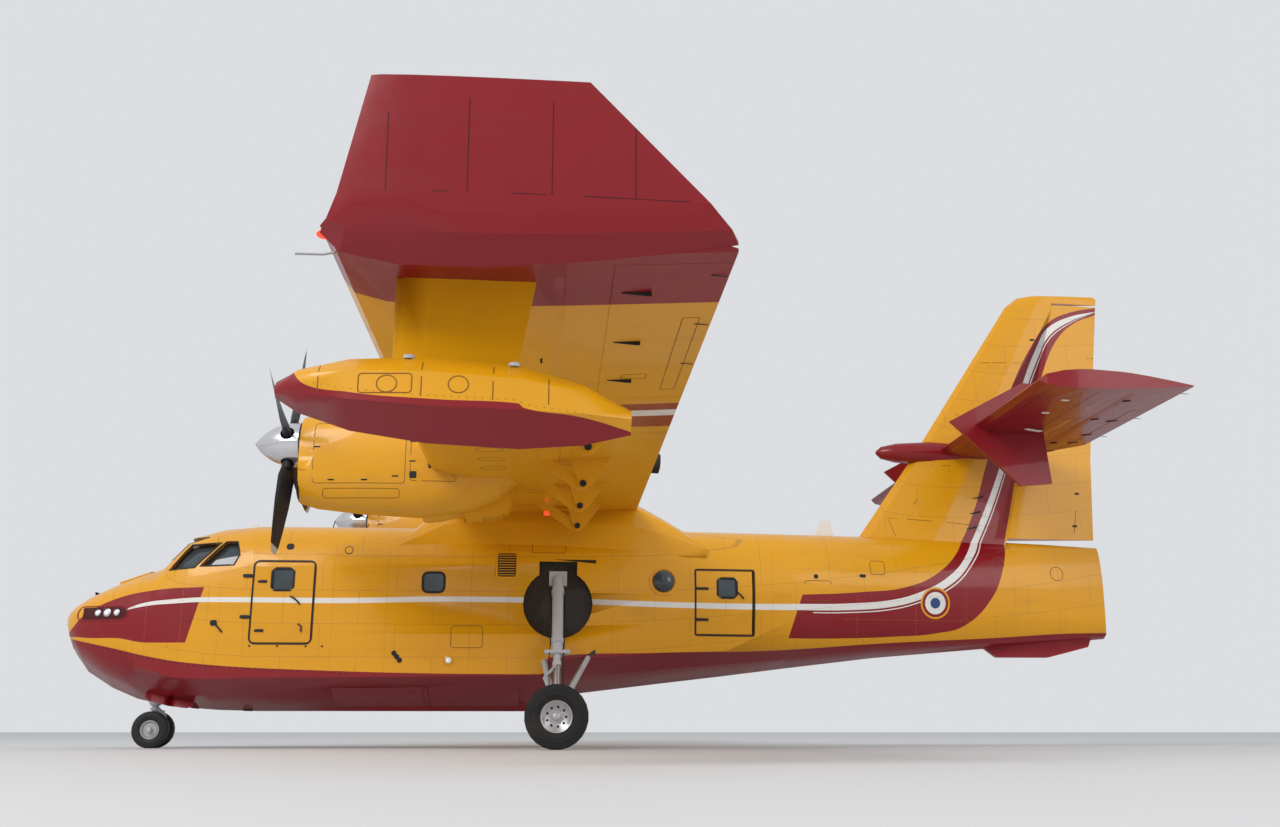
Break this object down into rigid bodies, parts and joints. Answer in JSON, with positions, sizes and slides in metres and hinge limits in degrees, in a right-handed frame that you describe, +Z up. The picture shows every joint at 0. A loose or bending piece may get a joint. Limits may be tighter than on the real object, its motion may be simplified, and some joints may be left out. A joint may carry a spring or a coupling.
{
  "type": "flying boat",
  "caption": "High-winged twin-turboprop flying boat for fighting fires, with a stepped hull, wing floats and wheels, parked.",
  "frame": {"origin": "on the ground, at the middle of the length and on the centre plane", "axes": "+X towards the nose, +Y to port, +Z up"},
  "size_m": [19.82, 28.6584, 8.98],
  "materials": {
    "yellow_skin": "satin",
    "red_skin": "satin",
    "window_glass": "gloss",
    "engine_metal": "satin",
    "blade_paint": "satin",
    "spinner_metal": "satin",
    "tyre_rubber": "matte",
    "hub_metal": "satin",
    "gear_paint": "satin",
    "seat_cloth": "matte",
    "panel_plastic": "matte"
  },
  "bodies": {
    "airframe": {"hull_bottom": "red_skin", "bow_section": "yellow_skin", "flight_deck": "yellow_skin", "cockpit_glazing": "window_glass", "cabin_port_wall": "yellow_skin", "cabin_starboard_wall": "yellow_skin", "cabin_roof": "yellow_skin", "tail_section": "yellow_skin", "wing_saddle": "yellow_skin", "wing": "yellow_skin", "bubble_window_port": "window_glass", "bubble_window_starboard": "window_glass", "winglet_port": "red_skin", "winglet_starboard": "red_skin", "float_port": "yellow_skin", "float_starboard": "yellow_skin", "nacelle_port": "yellow_skin", "nacelle_starboard": "yellow_skin", "engine_port": "engine_metal", "engine_starboard": "engine_metal", "fin": "yellow_skin", "tail_bullet": "red_skin", "tailplane_port": "red_skin", "tailplane_starboard": "red_skin", "finlet_port": "red_skin", "finlet_starboard": "red_skin", "main_leg_port": "gear_paint", "main_leg_starboard": "gear_paint", "nose_leg": "gear_paint", "pilot_seat": "seat_cloth", "copilot_seat": "seat_cloth", "instrument_panel": "panel_plastic"},
    "propeller_port": {"propeller_port": "blade_paint", "spinner_port": "spinner_metal"},
    "main_wheel_port": {"main_tyre_port": "tyre_rubber", "main_hub_port": "hub_metal"},
    "propeller_starboard": {"propeller_starboard": "blade_paint", "spinner_starboard": "spinner_metal"},
    "main_wheel_starboard": {"main_tyre_starboard": "tyre_rubber", "main_hub_starboard": "hub_metal"},
    "nose_fork": {"nose_fork": "gear_paint"},
    "nose_wheels": {"nose_wheels": "tyre_rubber"},
    "flap_port": {"flap_port": "yellow_skin"},
    "aileron_port": {"aileron_port": "yellow_skin"},
    "elevator_port": {"elevator_port": "red_skin"},
    "flap_starboard": {"flap_starboard": "yellow_skin"},
    "aileron_starboard": {"aileron_starboard": "yellow_skin"},
    "elevator_starboard": {"elevator_starboard": "red_skin"},
    "rudder": {"rudder": "yellow_skin"},
    "front_door": {"front_door": "yellow_skin", "front_door_pane": "window_glass"},
    "rear_door": {"rear_door": "yellow_skin", "rear_door_pane": "window_glass"},
    "roof_hatch": {"roof_hatch": "yellow_skin"},
    "bow_hatch": {"bow_hatch": "yellow_skin"},
    "drop_door_1": {"drop_door_1": "red_skin"},
    "drop_door_2": {"drop_door_2": "red_skin"},
    "drop_door_3": {"drop_door_3": "red_skin"},
    "drop_door_4": {"drop_door_4": "red_skin"}
  },
  "joints": [
    {"name": "propeller_spin_port", "type": "hinge", "parent": "airframe", "child": "propeller_port", "pos_m": [5.42, 3.85, 4.755], "axis": [1, 0, 0], "continuous": true},
    {"name": "main_wheel_spin_port", "type": "hinge", "parent": "airframe", "child": "main_wheel_port", "pos_m": [1.08, 2.655, 0.525], "axis": [0, 1, 0], "continuous": true},
    {"name": "propeller_spin_starboard", "type": "hinge", "parent": "airframe", "child": "propeller_starboard", "pos_m": [5.42, -3.85, 4.755], "axis": [1, 0, 0], "continuous": true},
    {"name": "main_wheel_spin_starboard", "type": "hinge", "parent": "airframe", "child": "main_wheel_starboard", "pos_m": [1.08, -2.655, 0.525], "axis": [0, 1, 0], "continuous": true},
    {"name": "nose_steering", "type": "hinge", "parent": "airframe", "child": "nose_fork", "pos_m": [8.31, 0, 0.74], "axis": [0, 0, 1], "range_deg": [-40, 40]},
    {"name": "nose_wheel_spin", "type": "hinge", "parent": "nose_fork", "child": "nose_wheels", "pos_m": [8.31, 0, 0.32], "axis": [0, 1, 0], "continuous": true},
    {"name": "flap_port_hinge", "type": "hinge", "parent": "airframe", "child": "flap_port", "pos_m": [0.74, 5.27, 3.86], "axis": [0, -1, 0], "range_deg": [0, 25]},
    {"name": "aileron_port_hinge", "type": "hinge", "parent": "airframe", "child": "aileron_port", "pos_m": [0.62, 11.43, 4.397], "axis": [0, -1, 0], "range_deg": [-20, 20]},
    {"name": "elevator_port_hinge", "type": "hinge", "parent": "airframe", "child": "elevator_port", "pos_m": [-8.05, 2.7, 5.66], "axis": [0, -1, 0], "range_deg": [-20, 20]},
    {"name": "flap_starboard_hinge", "type": "hinge", "parent": "airframe", "child": "flap_starboard", "pos_m": [0.74, -5.27, 3.86], "axis": [0, -1, 0], "range_deg": [0, 25]},
    {"name": "aileron_starboard_hinge", "type": "hinge", "parent": "airframe", "child": "aileron_starboard", "pos_m": [0.62, -11.43, 4.397], "axis": [0, -1, 0], "range_deg": [-20, 20]},
    {"name": "elevator_starboard_hinge", "type": "hinge", "parent": "airframe", "child": "elevator_starboard", "pos_m": [-8.05, -2.7, 5.66], "axis": [0, -1, 0], "range_deg": [-20, 20]},
    {"name": "rudder_hinge", "type": "hinge", "parent": "airframe", "child": "rudder", "pos_m": [-7.72, 0, 4.02], "axis": [-0.2549, 0, 0.967], "range_deg": [-25, 25]},
    {"name": "front_door_hinge", "type": "hinge", "parent": "airframe", "child": "front_door", "pos_m": [6.43, 1.297, 2.5], "axis": [0, 0, -1], "range_deg": [0, 100]},
    {"name": "rear_door_hinge", "type": "hinge", "parent": "airframe", "child": "rear_door", "pos_m": [-1.42, 1.206, 2.56], "axis": [0, 0, -1], "range_deg": [0, 100]},
    {"name": "roof_hatch_hinge", "type": "hinge", "parent": "airframe", "child": "roof_hatch", "pos_m": [6.25, -0.86, 3.817], "axis": [1, 0, 0], "range_deg": [0, 100]},
    {"name": "bow_hatch_hinge", "type": "hinge", "parent": "airframe", "child": "bow_hatch", "pos_m": [9.06, 0, 2.936], "axis": [0, 1, 0], "range_deg": [0, 90]},
    {"name": "drop_door_1_hinge", "type": "hinge", "parent": "airframe", "child": "drop_door_1", "pos_m": [2.55, 0.96, 1.032], "axis": [1, 0, 0], "range_deg": [0, 65]},
    {"name": "drop_door_2_hinge", "type": "hinge", "parent": "airframe", "child": "drop_door_2", "pos_m": [2.55, -0.96, 1.032], "axis": [-1, 0, 0], "range_deg": [0, 65]},
    {"name": "drop_door_3_hinge", "type": "hinge", "parent": "airframe", "child": "drop_door_3", "pos_m": [4.25, 0.96, 1.032], "axis": [1, 0, 0], "range_deg": [0, 65]},
    {"name": "drop_door_4_hinge", "type": "hinge", "parent": "airframe", "child": "drop_door_4", "pos_m": [4.25, -0.96, 1.032], "axis": [-1, 0, 0], "range_deg": [0, 65]}
  ],
  "couplings": [
    {"joint": "flap_starboard_hinge", "follows": "flap_port_hinge", "ratio": 1},
    {"joint": "aileron_starboard_hinge", "follows": "aileron_port_hinge", "ratio": -1},
    {"joint": "elevator_starboard_hinge", "follows": "elevator_port_hinge", "ratio": 1}
  ]
}
